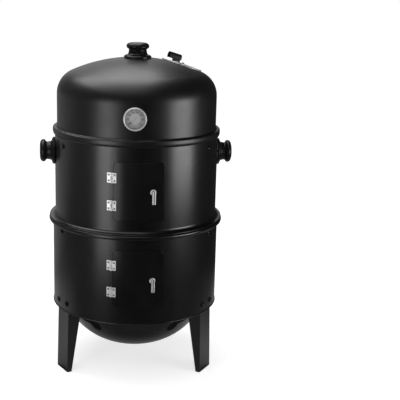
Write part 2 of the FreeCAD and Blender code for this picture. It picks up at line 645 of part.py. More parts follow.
def vent_outline(sketch):
    """One petal of the vent, between two radii and two rays."""
    across = "%s * sin(vent_half_angle)"
    up = "%s * cos(vent_half_angle)"
    return outline(sketch, (
        ("-" + across % "vent_inner", up % "vent_inner", "-vent_inner"),
        (across % "vent_inner", up % "vent_inner"),
        (across % "vent_outer", up % "vent_outer", "vent_outer"),
        ("-" + across % "vent_outer", up % "vent_outer"),
    ))


def make_lid():
    """A spun dome: crown, shoulder, skirt, and a band that drops over the food chamber's upper edge."""
    body = new_body("lid")
    top = "%s + crown_radius" % CROWN_CENTRE
    tangent_across = "%s * crown_radius / %s" % (SHOULDER_CENTRE, CROWN_SPAN)
    tangent_up = "%s + %s * crown_radius / %s" % (CROWN_CENTRE, CROWN_RISE, CROWN_SPAN)
    inner_across = "%s * (crown_radius - sheet) / %s" % (SHOULDER_CENTRE, CROWN_SPAN)
    inner_up = "%s + %s * (crown_radius - sheet) / %s" % (CROWN_CENTRE, CROWN_RISE, CROWN_SPAN)
    step_top = LID_SEAT + " + sheet"
    band_foot = LID_SEAT + " - band_depth"
    curl_top = band_foot + " + 2.8 * band_curl"
    skirt_inner = LID_RADIUS + " - sheet"
    turned(body, outline(new_sketch(body, "XZ_Plane"), (
        ("0", top, "-crown_radius"), (tangent_across, tangent_up, "-shoulder_radius"),
        (LID_RADIUS, SHOULDER), (LID_RADIUS, step_top), (BAND_RADIUS, step_top),
        (BAND_RADIUS, curl_top, "-4.5 * band_curl"), (BAND_RADIUS + " - band_curl", band_foot),
        (BAND_RADIUS + " - band_curl - sheet", band_foot, "4 * band_curl"),
        (BAND_RADIUS + " - sheet", curl_top), (BAND_RADIUS + " - sheet", LID_SEAT),
        (skirt_inner, LID_SEAT), (skirt_inner, SHOULDER, "shoulder_radius - sheet"),
        (inner_across, inner_up, "crown_radius - sheet"), ("0", top + " - sheet"),
    )))
    rounded(body, "bend_radius", rings((BAND_RADIUS, step_top), (LID_RADIUS, step_top)))
    rounded(body, "sheet", rings((BAND_RADIUS + " - sheet", LID_SEAT)))
    bolt_hole = circles(new_sketch(body, "XY_Plane"), "knob_bolt + bolt_clearance", [("0", "0")])
    pocketed(body, bolt_hole, top + " + sheet")
    drilled(body, "gauge_azimuth", "gauge_stem + bolt_clearance", [("0", LID_SEAT + " + gauge_rise")])
    frame = damper_frame()
    pivot_hole = new_sketch(body, "XY_Plane", ("0", "0", CROWN_CENTRE), frame.Rotation)
    pocketed(body, circles(pivot_hole, "damper_pivot", [("0", "0")]), "crown_radius * 1.1")
    vent = vent_outline(new_sketch(body, "XY_Plane", ("0", "0", CROWN_CENTRE), frame.Rotation))
    patterned(body, pocketed(body, vent, "crown_radius * 1.1"), (vent, ["N_Axis"]), VENT_COUNT)


# ---------------------------------------------------------------------------------------------------
# Knobs, thermometer and damper
# ---------------------------------------------------------------------------------------------------
def knob_outline(sketch, height):
    """A turned knob with a hollow underside; height() gives the place of a height over its seat."""
    bore = "knob_bolt + hinge_clearance"
    upright = value(height("1")) > value(height("0"))
    hollow, bulge = ("-", "") if upright else ("", "-")
    points = (
        (bore, "3"), ("knob_base - knob_land - 2", "3"), ("knob_base - knob_land", "0"), ("knob_base", "0"),
        ("knob_base", "0.09 * knob_height", bulge + "7"),
        ("knob_neck + 5.5", "0.2 * knob_height", hollow + "6"), ("knob_neck + 1", "0.3 * knob_height"),
        ("knob_neck", "0.46 * knob_height", hollow + "5"),
        ("knob_head - 1.8", "0.64 * knob_height", bulge + "7"),
        ("knob_head", "0.77 * knob_height", bulge + "8"),
        ("knob_head - 3.6", "0.94 * knob_height", bulge + "16"), ("knob_head - 10.5", "knob_height"),
        ("0", "knob_height"), ("0", "0.6 * knob_height"), (bore, "0.6 * knob_height"),
    )
    return outline(sketch, [(point[0], height(point[1])) + tuple(point[2:]) for point in points])


def make_lid_knob():
    """The lid's knob stands on the crown; its bolt comes up from inside the lid."""
    seat = "(%s + sqrt(crown_radius^2 - (knob_base - knob_land)^2) + rest_gap)" % CROWN_CENTRE
    knob = new_body("lid_knob")
    turned(knob, knob_outline(new_sketch(knob, "XZ_Plane"), lambda rise: "%s + %s" % (seat, rise)))
    bolt = new_body("lid_knob_bolt")
    face = "(%s + sqrt((crown_radius - sheet)^2 - bolt_head^2) - rest_gap)" % CROWN_CENTRE
    end = "%s + 0.6 * knob_height - 1" % seat
    turned(bolt, outline(new_sketch(bolt, "XZ_Plane"), (
        ("0", face + " - 3"), ("0.8 * bolt_head", face + " - 3"), ("bolt_head", face + " - 2"),
        ("bolt_head", face), ("knob_bolt", face), ("knob_bolt", end), ("0", end),
    )))


def make_side_handles():
    """A knob on each side of the food chamber, held by a bolt from inside."""
    seat = "(%s + rest_gap)" % FOOD_RADIUS
    bolts = new_body("side_handle_bolts")
    face = "(sqrt((%s - sheet)^2 - bolt_head^2) - rest_gap)" % FOOD_RADIUS
    end = "-(%s + 0.6 * knob_height - 1)" % seat
    for label, azimuth in HANDLES:
        knob = new_body(label)
        sketch = radial_sketch(knob, azimuth, "0", HANDLE_HEIGHT)
        turned(knob, knob_outline(sketch, lambda rise: "-(%s + %s)" % (seat, rise)))
        turned(bolts, outline(radial_sketch(bolts, azimuth, "0", HANDLE_HEIGHT), (
            ("0", "-(%s - 3)" % face), ("0.8 * bolt_head", "-(%s - 3)" % face),
            ("bolt_head", "-(%s - 2)" % face), ("bolt_head", "-" + face), ("knob_bolt", "-" + face),
            ("knob_bolt", end), ("0", end),
        )))


def make_thermometer():
    """A dial thermometer in front of the lid: case, dial, pointer, lens, and a stem through the lid."""
    floor = "4"
    lens_back = "(gauge_depth - 3.6)"
    lens_front = "(gauge_depth - 2.4)"
    cavity = "(gauge_window + 1)"
    shaft = "0.8"
    bore = "gauge_stem + hinge_clearance"
    case = new_body("thermometer_case")
    turned(case, outline(radial_sketch(case), (
        (bore, "-rest_gap"), ("gauge_radius - 2.5", "-rest_gap"), ("gauge_radius - 1.2", "-1.5"),
        ("gauge_radius - 1.2", "-(gauge_depth - 4)"), ("gauge_radius", "-(gauge_depth - 3.6)"),
        ("gauge_radius", "-(gauge_depth - 1.6)"), ("gauge_radius - 1.2", "-(gauge_depth - 0.3)"),
        ("gauge_radius - 2.4", "-gauge_depth"), ("gauge_window", "-(gauge_depth - 1)"),
        ("gauge_window", "-" + lens_front), (cavity, "-" + lens_front), (cavity, "-" + floor),
        (shaft + " + hinge_clearance", "-" + floor), (shaft + " + hinge_clearance", "-2"), (bore, "-2"),
    )))
    dial = new_body("thermometer_dial")
    turned(dial, outline(radial_sketch(dial), box_points(
        shaft + " + hinge_clearance", cavity + " - rest_gap", "-(%s + 0.8)" % floor, "-" + floor)))
    lens = new_body("thermometer_lens")
    turned(lens, outline(radial_sketch(lens), box_points(
        "0", cavity + " - rest_gap", "-" + lens_front, "-" + lens_back)))
    pointer = new_body("thermometer_pointer")
    turned(pointer, outline(radial_sketch(pointer), (
        ("0", "-%s - 2.2" % floor), ("2.2", "-%s - 2.2" % floor), ("2.2", "-%s - 1.2" % floor),
        (shaft, "-%s - 1.2" % floor), (shaft, "-2.4"), ("0", "-2.4"),
    )))
    turn = Rotation(Vector(0, 0, 1), value("pointer_angle"))
    arm = new_sketch(pointer, "XZ_Plane", ("0", "0", floor + " + 1.4"), turn)
    outline(arm, (
        ("-6", "-0.9"), ("pointer_length - 3", "-0.7"), ("pointer_length", "-0.2"),
        ("pointer_length", "0.2"), ("pointer_length - 3", "0.7"), ("-6", "0.9"),
    ))
    padded(pointer, arm, "0.6", midplane=False)
    stem = new_body("thermometer_stem")
    turned(stem, outline(radial_sketch(stem), (
        ("0", "-2 + rest_gap"), ("gauge_stem", "-2 + rest_gap"), ("gauge_stem", "gauge_stem_length - 2"),
        ("gauge_stem - 1.2", "gauge_stem_length"), ("0", "gauge_stem_length"),
    )))
    nut = new_body("thermometer_nut")
    nut_face = "(%s - sqrt((%s - sheet)^2 - (2 * gauge_stem)^2) + rest_gap)" % (LID_RADIUS, LID_RADIUS)
    turned(nut, outline(radial_sketch(nut), box_points(bore, "2 * gauge_stem", nut_face, nut_face + " + 3")))
    for body in (case, dial, lens, pointer, stem, nut):
        face_out(body, "gauge_azimuth", LID_RADIUS, LID_SEAT + " + gauge_rise")


def place_on_crown(body, turn):
    """Place a piece drawn above the crown's centre, turned towards its place on the lid."""
    body.Placement = Placement(Vector(), turn)
    body.setExpression("Placement.Base.z", sized(CROWN_CENTRE))


def on_sphere(radius, across):
    return "sqrt((%s)^2 - (%s)^2)" % (radius, across)


def make_damper():
    """A slotted disc that turns over the lid's vents about a rivet, with a rolled grip at its edge."""
    frame = damper_frame().Rotation
    under = "(crown_radius + damper_gap)"
    over = "(crown_radius + damper_gap + damper_plate)"
    bore = "damper_pivot + latch_clearance"
    bead_foot = "(damper_radius - damper_bead - 0.8)"
    edge = on_sphere(over, "damper_radius")
    grip_tilt = math.degrees(math.asin(value("grip_offset / " + over)))
    grip_frame = Rotation(Vector(0, 0, 1), value("grip_turn")) * Rotation(Vector(1, 0, 0), grip_tilt)
    rivet_spot = ("-(grip_length - grip_foot) / 2", "5.4")
    rivet_radius = "1.6"

    disc = new_body("damper_disc")
    turned(disc, outline(new_sketch(disc, "XZ_Plane"), (
        (bore, on_sphere(under, bore), "-" + under), ("damper_radius", on_sphere(under, "damper_radius")),
        ("damper_radius", edge + " + 0.7"), ("damper_radius - 0.8", edge + " + 1.4"),
        ("damper_radius - damper_bead", edge + " + 1.4"), (bead_foot, on_sphere(over, bead_foot), over),
        (bore, on_sphere(over, bore)),
    )))
    vent = vent_outline(new_sketch(disc, "XY_Plane"))
    patterned(disc, pocketed(disc, vent, "crown_radius * 1.1"), (vent, ["N_Axis"]), VENT_COUNT)
    grip_hole = new_sketch(disc, "XY_Plane", turn=grip_frame)
    circles(grip_hole, rivet_radius + " + hinge_clearance", [rivet_spot])
    pocketed(disc, grip_hole, "crown_radius * 1.1")
    place_on_crown(disc, frame)

    rivet = new_body("damper_rivet")
    top = "(%s + rest_gap)" % over
    foot = "(crown_radius - sheet - 2 * rest_gap)"
    turned(rivet, outline(new_sketch(rivet, "XZ_Plane"), (
        ("0", foot + " - 1.2"), ("1.8 * damper_pivot", foot + " - 1.2"), ("1.8 * damper_pivot", foot),
        ("damper_pivot - hinge_clearance", foot), ("damper_pivot - hinge_clearance", top),
        ("2 * damper_pivot", top), ("1.7 * damper_pivot", top + " + 1.4"), ("damper_pivot", top + " + 2.2"),
        ("0", top + " + 2.4"),
    )))
    place_on_crown(rivet, frame)

    grip = new_body("damper_grip")
    seat = "(%s + rest_gap)" % over
    half = "grip_width / 2"
    spring = "(%s + grip_height - %s)" % (seat, half)
    crest = "(%s + grip_height)" % seat
    shell = new_sketch(grip, "YZ_Plane")
    lower = seat + " + grip_rise"
    outline(shell, (
        ("-" + half, lower), ("-" + half, spring, "-(%s)" % half), ("0", crest, "-(%s)" % half),
        (half, spring), (half, lower), (half + " - grip_sheet", lower),
        (half + " - grip_sheet", spring, half + " - grip_sheet"),
        ("0", crest + " - grip_sheet", half + " - grip_sheet"),
        ("-%s + grip_sheet" % half, spring), ("-%s + grip_sheet" % half, lower),
    ))
    padded(grip, shell, "grip_length")
    foot_sketch = new_sketch(grip, "YZ_Plane", ("0", "0", rivet_spot[0]))
    outline(foot_sketch, (
        ("1", seat), ("8.4", seat), ("8.4", seat + " + 1.6"), ("2.6", seat + " + 1.6"),
        ("2.6", spring + " + 5"), ("1", spring + " + 5.6"),
    ))
    padded(grip, foot_sketch, "grip_foot")
    hole = circles(new_sketch(grip, "XY_Plane"), rivet_radius + " + hinge_clearance", [rivet_spot])
    pocketed(grip, hole, seat + " + 3")
    place_on_crown(grip, frame * grip_frame)

    grip_rivet = new_body("damper_grip_rivet")
    head = seat + " + 1.6 + rest_gap"
    sketch = new_sketch(grip_rivet, "XZ_Plane", (rivet_spot[0], "0", "-" + rivet_spot[1]))
    turned(grip_rivet, outline(sketch, (
        ("0", under + " + 0.1"), (rivet_radius, under + " + 0.1"), (rivet_radius, head), ("2.4", head),
        ("1.9", head + " + 1.2"), ("0", head + " + 1.5"),
    )))
    place_on_crown(grip_rivet, frame * grip_frame)


# ---------------------------------------------------------------------------------------------------
# Legs, brackets and their fasteners
# ---------------------------------------------------------------------------------------------------
LEG_FACE = "(sqrt((lower_radius - sheet)^2 - (leg_width / 2)^2) - 2 * rest_gap)"
LEG_TOP = "(leg_height + leg_tab)"
STRIP_INSET = "(sheet + bracket_gap)"


def make_leg(label, azimuth):
    """A bent strip inside the wall with tapering side flanges and a shelf for the charcoal bowl."""
    body = new_body(label)
    back = LEG_FACE + " - leg_sheet"
    foot = "(%s + leg_splay)" % LEG_FACE
    strip = new_sketch(body, "YZ_Plane")
    outline(strip, (
        ("-" + foot, "0"), ("-%s + leg_sheet" % foot, "0"), ("-(%s)" % back, "leg_height"),
        ("-(%s)" % back, LEG_TOP + " - leg_sheet"), ("-(%s - leg_lip)" % LEG_FACE, LEG_TOP + " - leg_sheet"),
        ("-(%s - leg_lip)" % LEG_FACE, LEG_TOP), ("-" + LEG_FACE, LEG_TOP), ("-" + LEG_FACE, "leg_height"),
    ))
    padded(body, strip, "leg_width")
    for side in (-1, 1):
        flange = new_sketch(body, "YZ_Plane", ("0", "0", "(%d) * (leg_width - leg_sheet) / 2" % side))
        outline(flange, (
            ("-%s + 0.5 * leg_sheet" % foot, "0"), ("-(%s - leg_toe)" % foot, "0"),
            ("-(%s - leg_flange)" % LEG_FACE, "leg_height - 15"),
            ("-(%s - 0.6 * leg_flange)" % LEG_FACE, "leg_height - 9"),
            ("-(%s - 0.5 * leg_sheet)" % LEG_FACE, "leg_height - 1"),
        ))
        padded(body, flange, "leg_sheet")
    upright = value("leg_width") / 2

    def outer_bend(edge):
        ends = [edge.Vertexes[0].Point, edge.Vertexes[-1].Point]
        on_side = all(abs(abs(end.x) - upright) < 0.01 for end in ends)
        outside = all(end.y < -value(LEG_FACE) + 0.01 for end in ends)
        return on_side and outside and abs(ends[0].z - ends[1].z) > 1

    rounded(body, "0.9 * leg_sheet", outer_bend)
    spots = [("(%d) * leg_bolt_spread / 2" % side, "leg_height + leg_bolt_rise") for side in (-1, 1)]
    drilled(body, "0", "bolt_radius + bolt_clearance", spots)
    face_out(body, str(azimuth))


def make_fasteners(bolt_label, nut_label, spots, height, face, clamp):
    """Round-headed bolts from outside and nuts inside, at (azimuth, lateral) spots of one height."""
    bolts = new_body(bolt_label)
    nuts = new_body(nut_label)
    head = "(%s + rest_gap)" % face
    nut_face = "(%s - rest_gap)" % clamp
    for azimuth, lateral in spots:
        turned(bolts, outline(radial_sketch(bolts, azimuth, lateral, height), (
            ("0", "-(%s + 3)" % head), ("0.55 * bolt_cap", "-(%s + 2.6)" % head),
            ("0.9 * bolt_cap", "-(%s + 1.4)" % head), ("bolt_cap", "-" + head),
            ("bolt_radius", "-" + head), ("bolt_radius", "-(%s - 4)" % clamp), ("0", "-(%s - 4)" % clamp),
        )))
        turned(nuts, outline(radial_sketch(nuts, azimuth, lateral, height), box_points(
            "bolt_radius + hinge_clearance", "bolt_head", "-" + nut_face, "-(%s - 2.6)" % nut_face)))


def make_brackets(label, radius, height, seats):
    """Three bent strips on the inside of a wall; seats lists (height, inward end) of each step."""
    body = new_body(label)
    strip = "(%s - %s)" % (radius, STRIP_INSET)
    outer = [("-" + strip, height + " + 1.6 * bolt_head")]
    inner = [("-(%s - bracket_sheet)" % strip, height + " + 1.6 * bolt_head")]
    level = strip
    for seat, end in seats:
        outer += [("-" + level, seat + " - bracket_sheet"), ("-%s" % end, seat + " - bracket_sheet")]
        inner += [("-(%s - bracket_sheet)" % level, seat), ("-(%s - bracket_sheet)" % end, seat)]
        level = end
    inner[-1] = ("-" + level, seats[-1][0])
    for azimuth in BRACKET_AZIMUTHS:
        sketch = new_sketch(body, "YZ_Plane", turn=Rotation(Vector(0, 1, 0), azimuth))
        padded(body, outline(sketch, outer + inner[::-1]), "bracket_width")
        drilled(body, azimuth, "bolt_radius + bolt_clearance", [("0", height)])


# ---------------------------------------------------------------------------------------------------
# Loose pieces: charcoal bowl, water pan and grates
# ---------------------------------------------------------------------------------------------------
def make_charcoal_bowl():
    """A rounded bowl, steeper at its sides, hung by its flat rim from the legs' shelves."""
    body = new_body("charcoal_bowl")
    rim = "(%s + rest_gap)" % LEG_TOP
    mouth = "(%s - bowl_ledge)" % BOWL_RIM
    centre = "(bowl_floor + bowl_round)"
    drop = "sqrt(bowl_round^2 - bowl_bottom^2)"
    across = "(%s - bowl_bottom)" % mouth
    up = "(%s - %s + %s)" % (rim, centre, drop)
    side = "((%s^2 + %s^2) * bowl_round / 2 / (%s * %s - %s * bowl_bottom))" % (across, up, up, drop, across)
    side_across = "(bowl_bottom * (1 - %s / bowl_round))" % side
    side_up = "(%s - %s * (1 - %s / bowl_round))" % (centre, drop, side)
    lip = "sqrt((%s - sheet)^2 - (%s - %s - sheet)^2)" % (side, side_up, rim)
    within = "(1 - sheet / bowl_round)"
    turned(body, outline(new_sketch(body, "XZ_Plane"), (
        ("0", "bowl_floor", "bowl_round"), ("bowl_bottom", "%s - %s" % (centre, drop), side),
        (mouth, rim), (BOWL_RIM, rim), (BOWL_RIM, rim + " + sheet"),
        ("%s + %s" % (side_across, lip), rim + " + sheet", "-(%s - sheet)" % side),
        ("bowl_bottom * " + within, "%s - %s * %s" % (centre, drop, within), "-(bowl_round - sheet)"),
        ("0", "bowl_floor + sheet"),
    )))


def make_water_pan():
    """A tapered pan hung by its flat rim from the lower brackets."""
    body = new_body("water_pan")
    rim = "(%s + rest_gap)" % PAN_SEAT
    floor = "(%s - pan_depth)" % rim
    wall = "(%s - pan_ledge)" % PAN_RIM
    foot = "(%s - pan_taper)" % wall
    turned(body, outline(new_sketch(body, "XZ_Plane"), (
        ("0", floor), (foot + " - 7", floor), (foot, floor + " + 7"), (wall, rim),
        (PAN_RIM, rim), (PAN_RIM, rim + " + sheet"), (wall + " - sheet", rim + " + sheet"),
        (foot + " - sheet", floor + " + 7.5"), (foot + " - 7.5", floor + " + sheet"),
        ("0", floor + " + sheet"),
    )))


def make_grate(label, seat):
    """Parallel bars inside a ring, with two cross wires under them, all welded together."""
    body = new_body(label)
    middle = "(%s + rest_gap + ring_wire)" % seat
    centreline = "(%s - ring_wire)" % GRATE_RADIUS
    count = int(value("(%s - 2 * ring_wire) / bar_pitch - 0.5" % GRATE_RADIUS))
    bars = new_sketch(body, "YZ_Plane")
    circles(bars, "bar_wire", [("(%d) * bar_pitch" % row, middle) for row in range(-count, count + 1)])
    padded(body, bars, "2 * " + GRATE_RADIUS)
    cross = new_sketch(body, "XZ_Plane")
    under = middle + " - 2 * bar_wire + 0.3"
    circles(cross, "bar_wire", [("(%d) * %s / 3" % (side, GRATE_RADIUS), under) for side in (-1, 1)])
    padded(body, cross, "2 * " + GRATE_RADIUS)
    trim = new_sketch(body, "XZ_Plane")
    low, high = middle + " - 4 * bar_wire", middle + " + 2 * bar_wire"
    grooved(body, outline(trim, box_points(centreline, "2 * " + GRATE_RADIUS, low, high)))
    ring = circles(new_sketch(body, "XZ_Plane"), "ring_wire", [(centreline, middle)])
    turned(body, ring)


# ---------------------------------------------------------------------------------------------------
# The whole smoker
# ---------------------------------------------------------------------------------------------------
make_fire_chamber()
make_food_chamber()
make_lid()
for chamber in (FIRE, FOOD):
    make_door(chamber)
    make_hinges(chamber)
    make_latch(chamber)
make_lid_knob()
make_side_handles()
make_thermometer()
make_damper()
for label, azimuth in LEGS:
    make_leg(label, azimuth)
make_fasteners(
    "leg_bolts", "leg_nuts",
    [(azimuth, "(%d) * leg_bolt_spread / 2" % side) for label, azimuth in LEGS for side in (-1, 1)],
    "leg_height + leg_bolt_rise", on_sphere("lower_radius", "leg_bolt_spread / 2 - bolt_cap"),
    "(%s - leg_sheet)" % LEG_FACE,
)
BRACKETS = (
    ("lower", FIRE_RADIUS, "(%s - lower_screw_drop)" % RIM_TOP,
     ((GRATE_SEAT, STEP_END), (PAN_SEAT, "(%s - 6)" % PAN_RIM))),
    ("upper", FOOD_RADIUS, "(%s - upper_screw_drop)" % FOOD_TOP, ((UPPER_SEAT, STEP_END),)),
)
for place, radius, height, seats in BRACKETS:
    make_brackets(place + "_brackets", radius, height, seats)
    make_fasteners(
        place + "_bracket_bolts", place + "_bracket_nuts", [(azimuth, "0") for azimuth in BRACKET_AZIMUTHS],
        height, radius, "(%s - %s - bracket_sheet)" % (radius, STRIP_INSET),
    )
make_charcoal_bowl()
make_water_pan()
make_grate("lower_grate", GRATE_SEAT)
make_grate("upper_grate", UPPER_SEAT)
doc.recompute()

for item in doc.Objects:
    if "Invalid" in item.State or "Error" in item.State:
        raise RuntimeError("%s: %s" % (item.Label, item.State))
for body in doc.findObjects("PartDesign::Body"):
    if body.Shape.isNull() or not body.Shape.isValid():
        raise RuntimeError("%s: bad shape" % body.Label)
    body.Shape.exportStep("parts/%s.step" % body.Label)
    print("%-28s solids %2d  volume %10.1f" % (body.Label, len(body.Shape.Solids), body.Shape.Volume))
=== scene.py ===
import json
import math
import bmesh
import bpy
from mathutils import Matrix, Vector


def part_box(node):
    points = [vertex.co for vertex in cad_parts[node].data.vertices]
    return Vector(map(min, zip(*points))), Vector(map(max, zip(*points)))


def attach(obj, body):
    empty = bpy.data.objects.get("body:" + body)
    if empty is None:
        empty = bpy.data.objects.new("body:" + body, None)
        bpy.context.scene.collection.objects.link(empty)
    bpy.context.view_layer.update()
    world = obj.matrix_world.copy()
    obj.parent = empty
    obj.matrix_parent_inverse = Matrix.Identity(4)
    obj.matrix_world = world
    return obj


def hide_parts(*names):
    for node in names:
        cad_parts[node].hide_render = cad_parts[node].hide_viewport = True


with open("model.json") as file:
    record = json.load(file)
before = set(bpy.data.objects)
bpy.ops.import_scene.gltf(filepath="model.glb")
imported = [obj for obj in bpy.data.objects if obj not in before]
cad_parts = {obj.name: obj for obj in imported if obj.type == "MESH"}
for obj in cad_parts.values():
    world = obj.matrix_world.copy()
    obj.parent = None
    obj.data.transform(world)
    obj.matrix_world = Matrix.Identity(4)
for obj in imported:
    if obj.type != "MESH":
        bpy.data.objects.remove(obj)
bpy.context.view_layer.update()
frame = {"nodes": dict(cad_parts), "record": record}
scene = bpy.context.scene
scene.view_settings.view_transform = "Standard"
MM = 0.001
WHITE = (1, 1, 1, 1)


# ---------------------------------------------------------------------------------------------------
# Camera
# ---------------------------------------------------------------------------------------------------
# Metres from the smoker's foot, millimetres of lens and radians
CAMERA_DISTANCE = 2.2424
CAMERA_HEIGHT = 0.9643
CAMERA_LENS = 84.65
CAMERA_PITCH = 0.2449
CAMERA_YAW = 0.0701
CAMERA_ROLL = -0.0297


def add_camera():
    """Stand the camera before the smoker, tilted down, turned a little right and rolled a little."""
    forward = Vector((
        math.sin(CAMERA_YAW) * math.cos(CAMERA_PITCH),
        math.cos(CAMERA_YAW) * math.cos(CAMERA_PITCH),
        -math.sin(CAMERA_PITCH),
    ))
    level_right = Vector((math.cos(CAMERA_YAW), -math.sin(CAMERA_YAW), 0))
    level_up = level_right.cross(forward)
    right = math.cos(CAMERA_ROLL) * level_right - math.sin(CAMERA_ROLL) * level_up
    up = math.sin(CAMERA_ROLL) * level_right + math.cos(CAMERA_ROLL) * level_up
    data = bpy.data.cameras.new("camera")
    data.lens = CAMERA_LENS
    data.sensor_width = 36
    data.clip_end = 100
    camera = bpy.data.objects.new("camera", data)
    scene.collection.objects.link(camera)
    turn = Matrix((right, up, -forward)).transposed().to_4x4()
    camera.matrix_world = Matrix.Translation((0, -CAMERA_DISTANCE, CAMERA_HEIGHT)) @ turn
    scene.camera = camera


# ---------------------------------------------------------------------------------------------------
# Materials
# ---------------------------------------------------------------------------------------------------
def new_node(tree, kind, **settings):
    """Add a node; each setting goes to the socket of that name, or else to the node's own property."""
    node = tree.nodes.new(kind)
    for name, setting in settings.items():
        if name in node.inputs:
            node.inputs[name].default_value = setting
        else:
            setattr(node, name, setting)
    return node


class Paint:
    """A node material under construction: a Principled shader and helpers that feed its sockets."""

    def __init__(self, name, **settings):
        self.material = bpy.data.materials.new(name)
        self.material.use_nodes = True
        self.tree = self.material.node_tree
        self.shader = self.tree.nodes["Principled BSDF"]
        for socket, setting in settings.items():
            self.shader.inputs[socket.replace("_", " ")].default_value = setting

    def node(self, kind, **settings):
        return new_node(self.tree, kind, **settings)

    def link(self, source, target):
        self.tree.links.new(source, target)

    def place(self, stretch=(1, 1, 1)):
        """Coordinates fixed to the piece, in metres, stretched along each axis."""
        coordinates = self.node("ShaderNodeTexCoord").outputs["Object"]
        mapping = self.node("ShaderNodeMapping")
        mapping.inputs["Scale"].default_value = stretch
        self.link(coordinates, mapping.inputs["Vector"])
        return mapping.outputs["Vector"]

    def noise(self, scale, detail=3.0, stretch=(1, 1, 1)):
        noise = self.node("ShaderNodeTexNoise", Scale=scale, Detail=detail)
        self.link(self.place(stretch), noise.inputs["Vector"])
        return noise.outputs["Fac"]

    def spread(self, value, low, high):
        """Map the middle half of a 0..1 pattern to a range."""
        span = self.node("ShaderNodeMapRange")
        limits = {"From Min": 0.25, "From Max": 0.75, "To Min": low, "To Max": high}
        for name, limit in limits.items():
            span.inputs[name].default_value = limit
        self.link(value, span.inputs["Value"])
        return span.outputs["Result"]

    def colours(self, value, *stops):
        """Colour the surface by a 0..1 pattern; stops are (position, grey or colour)."""
        ramp = self.node("ShaderNodeValToRGB")
        elements = ramp.color_ramp.elements
        while len(elements) < len(stops):
            elements.new(0.5)
        for element, (position, colour) in zip(elements, stops):
            element.position = position
            grey = isinstance(colour, (int, float))
            element.color = (colour, colour, colour, 1) if grey else (*colour, 1)
        self.link(value, ramp.inputs["Fac"])
        self.link(ramp.outputs["Color"], self.shader.inputs["Base Color"])

    def roughness(self, value, low, high):
        self.link(self.spread(value, low, high), self.shader.inputs["Roughness"])

    def bump(self, height, distance, strength=1.0):
        bump = self.node("ShaderNodeBump", Strength=strength, Distance=distance)
        self.link(height, bump.inputs["Height"])
        self.link(bump.outputs["Normal"], self.shader.inputs["Normal"])
        return bump


# How far in from its rim a door's edge looks turned over
DOOR_EDGE = 3.4 * MM


def bent_sheet(paint, level, bend):
    """The normals of a slightly bent panel with edges that are turned over.

    The panel faces further to the left the further it lies from the line where it is level.
    """
    axes = paint.node("ShaderNodeSeparateXYZ")
    paint.link(paint.place(), axes.inputs["Vector"])
    across = paint.node("ShaderNodeMath", operation="SUBTRACT")
    across.inputs[1].default_value = level
    paint.link(axes.outputs["X"], across.inputs[0])
    rise = paint.node("ShaderNodeMath", operation="MULTIPLY")
    paint.link(across.outputs["Value"], rise.inputs[0])
    paint.link(across.outputs["Value"], rise.inputs[1])
    sheet = paint.node("ShaderNodeBump", Strength=1.0, Distance=bend)
    paint.link(rise.outputs["Value"], sheet.inputs["Height"])
    edge = paint.node("ShaderNodeBevel", Radius=DOOR_EDGE)
    paint.link(edge.outputs["Normal"], sheet.inputs["Normal"])
    return sheet.outputs["Normal"]


def satin_paint(name, rough_low, rough_high, grey=0.0016, specular=0.8, bent=None):
    """Heat-resistant satin black: faint orange peel and slightly uneven gloss.

    A bent panel is given by the line where it is level and by its bend per metre.
    """
    paint = Paint(name, Specular_IOR_Level=specular)
    paint.colours(paint.noise(14, 4), (0.3, grey * 0.75), (0.7, grey * 1.25))
    paint.roughness(paint.noise(30, 4), rough_low, rough_high)
    peel = paint.bump(paint.noise(600, 1), 0.03 * MM, 0.2)
    if bent:
        paint.link(bent_sheet(paint, *bent), peel.inputs["Normal"])
    return paint.material


def black_enamel():
    """Glossy black enamel with the soft waviness of a fired coat."""
    paint = Paint("black_enamel", Specular_IOR_Level=0.5)
    paint.colours(paint.noise(10, 3), (0.3, 0.0035), (0.7, 0.005))
    paint.roughness(paint.noise(25, 3), 0.06, 0.09)
    paint.bump(paint.noise(55, 1), 0.2 * MM, 0.1)
    return paint.material


def black_plastic():
    """Glossy moulded phenolic."""
    paint = Paint("black_plastic", Specular_IOR_Level=0.3)
    paint.colours(paint.noise(60, 3), (0.3, 0.006), (0.7, 0.009))
    paint.roughness(paint.noise(120, 3), 0.2, 0.27)
    paint.bump(paint.noise(700, 2), 0.05 * MM, 0.25)
    return paint.material


def plated_steel(name, grey, rough_low, rough_high, scatter=0.0):
    """Plated steel with a faint grain, a little duller in patches; it may scatter part of the light."""
    paint = Paint(name, Metallic=1 - scatter)
    paint.colours(paint.noise(90, 4), (0.25, grey * 0.86), (0.75, grey))
    paint.roughness(paint.noise(160, 4), rough_low, rough_high)
    paint.bump(paint.noise(260, 2, (1, 1, 6)), 0.05 * MM, 0.5)
    return paint.material


def from_dial_axis(paint, node):
    """Distance from the thermometer's axis: 0 in the dial's middle, 1 at the rim of the node."""
    low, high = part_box("thermometer_dial")
    flattened = (1, 0, 1)
    offset = paint.node("ShaderNodeVectorMath", operation="SUBTRACT")
    offset.inputs[1].default_value = (low + high) / 2 * Vector(flattened)
    paint.link(paint.place(flattened), offset.inputs[0])
    length = paint.node("ShaderNodeVectorMath", operation="LENGTH")
    paint.link(offset.outputs["Vector"], length.inputs[0])
    low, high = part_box(node)
    radius = paint.node("ShaderNodeMapRange")
    radius.inputs["From Max"].default_value = (high.x - low.x) / 2
    paint.link(length.outputs["Value"], radius.inputs["Value"])
    return radius.outputs["Result"]


def brushed_bezel():
    """A satin bezel that scatters part of the light and so looks evenly bright; its inner lip is painted
    dark, as painted shade.
    """
    paint = Paint("bezel", Metallic=0.6)
    # Painted shade: dark inside 0.84 of the case's radius, then light grey, a little lighter towards the
    # rim
    paint.colours(from_dial_axis(paint, "thermometer_case"), (0.84, 0.14), (0.9, 0.64), (1.0, 0.7))
    paint.roughness(paint.noise(160, 4), 0.42, 0.5)
    paint.bump(paint.noise(300, 2), 0.04 * MM, 0.4)
    return paint.material


